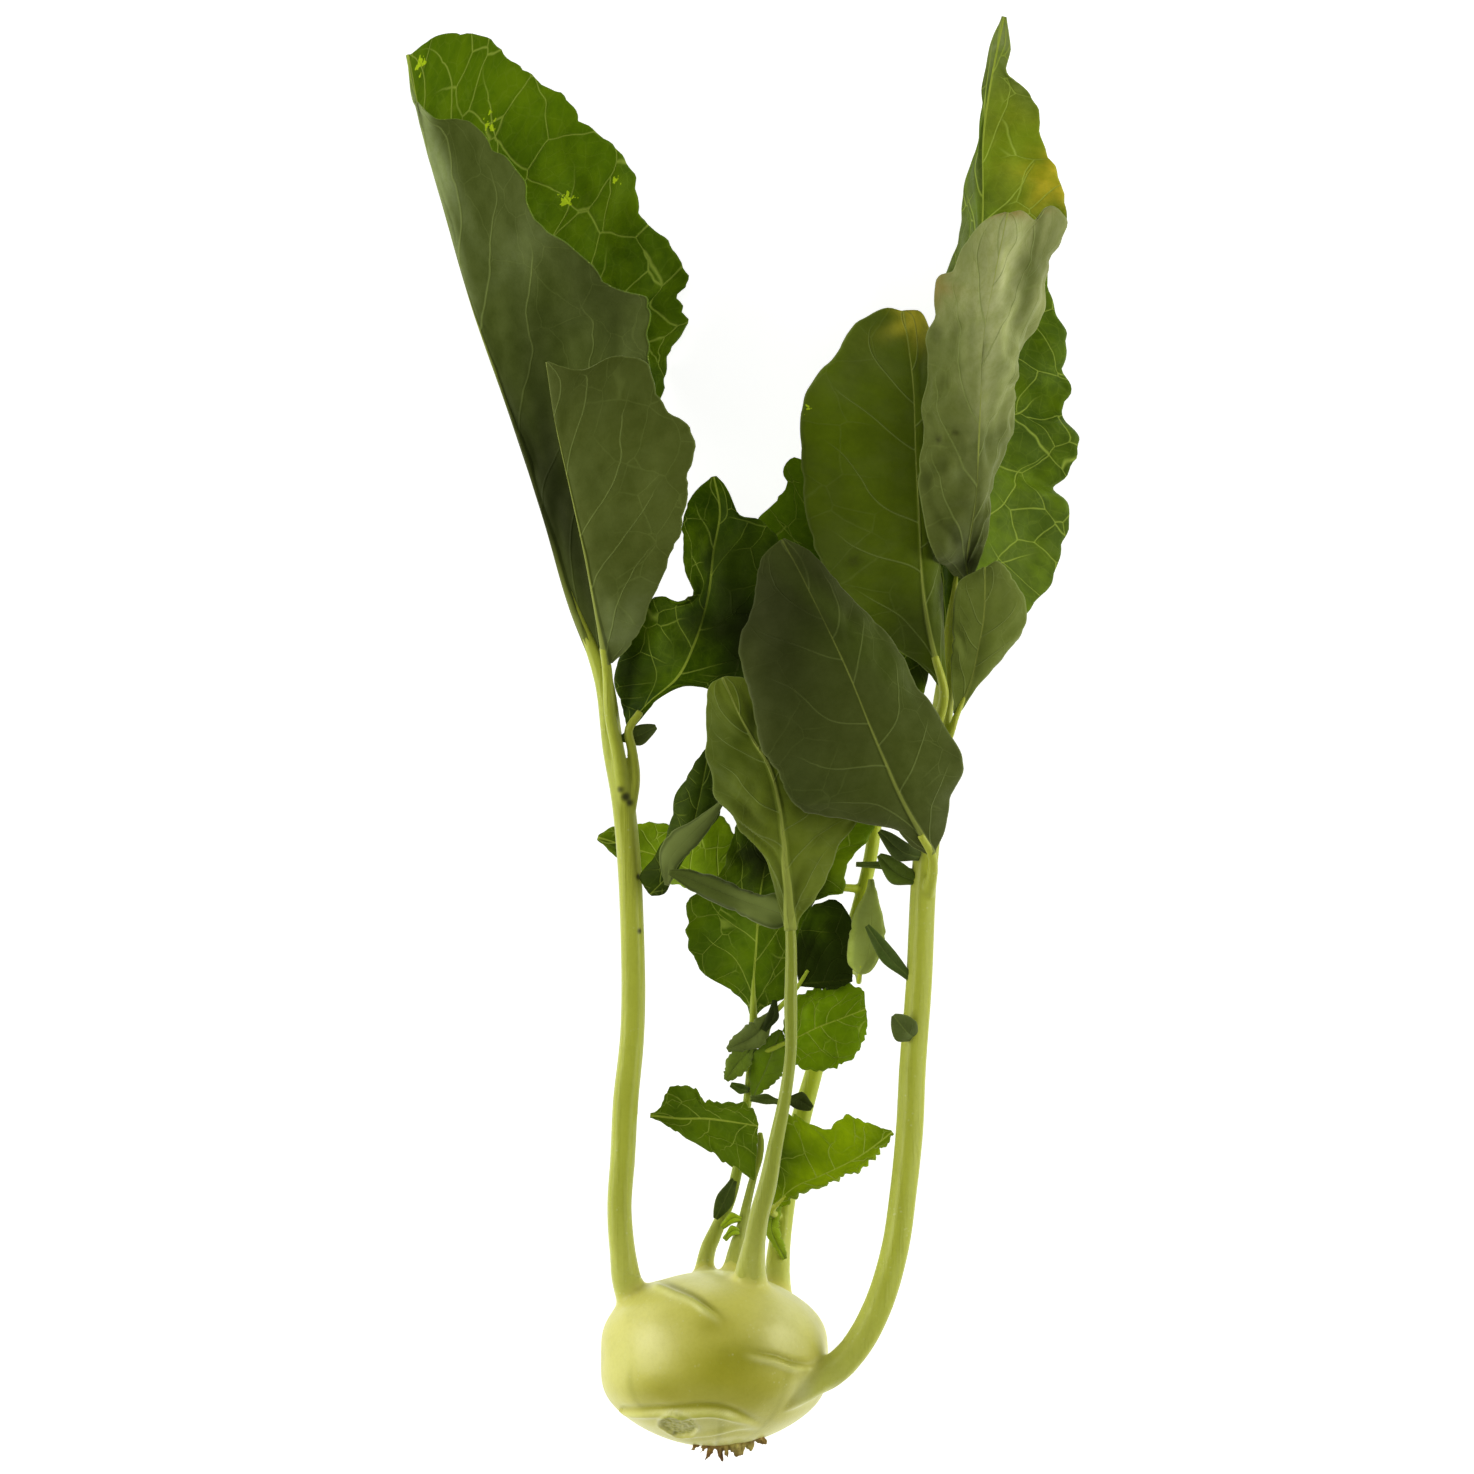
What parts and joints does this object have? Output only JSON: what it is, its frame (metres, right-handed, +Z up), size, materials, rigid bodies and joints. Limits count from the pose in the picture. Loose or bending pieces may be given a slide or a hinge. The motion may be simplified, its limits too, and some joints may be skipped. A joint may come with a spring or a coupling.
{
  "type": "kohlrabi",
  "caption": "Kohlrabi: a flattened pale green stem bulb with its cut root, long curved leaf stalks and folded, toothed leaf blades, lying on its back.",
  "frame": {"origin": "on the resting plane, at the small flat spot under the middle of the bulb", "axes": "+Y from the root end of the bulb towards the leaf tips, +Z up from the table, +X to the right when looking down with the leaves away from the viewer"},
  "size_m": [0.2245, 0.476, 0.087],
  "materials": {
    "bulb": "satin",
    "stalk": "satin",
    "leaf": "matte",
    "leaf_pale": "matte",
    "root": "matte"
  },
  "bodies": {
    "root": {"bulb": "bulb", "root_stub": "root", "stalk_left": "stalk", "stalk_right": "stalk", "stalk_front": "stalk", "stalk_back_right": "stalk", "stalk_back_left": "stalk", "stalk_back_middle": "stalk", "blade_left_main": "leaf", "blade_left_front": "leaf_pale", "blade_left_low": "leaf", "blade_left_small": "leaf", "blade_right_main": "leaf", "blade_right_inner": "leaf_pale", "blade_right_low": "leaf_pale", "blade_right_front": "leaf_pale", "blade_front_main": "leaf_pale", "blade_back_right": "leaf", "blade_back_left": "leaf", "blade_back_low": "leaf", "blade_middle_round": "leaf", "blade_middle_dark": "leaf", "blade_middle_curled": "leaf_pale", "blade_bottom_left": "leaf", "blade_bottom_right": "leaf"}
  },
  "joints": []
}
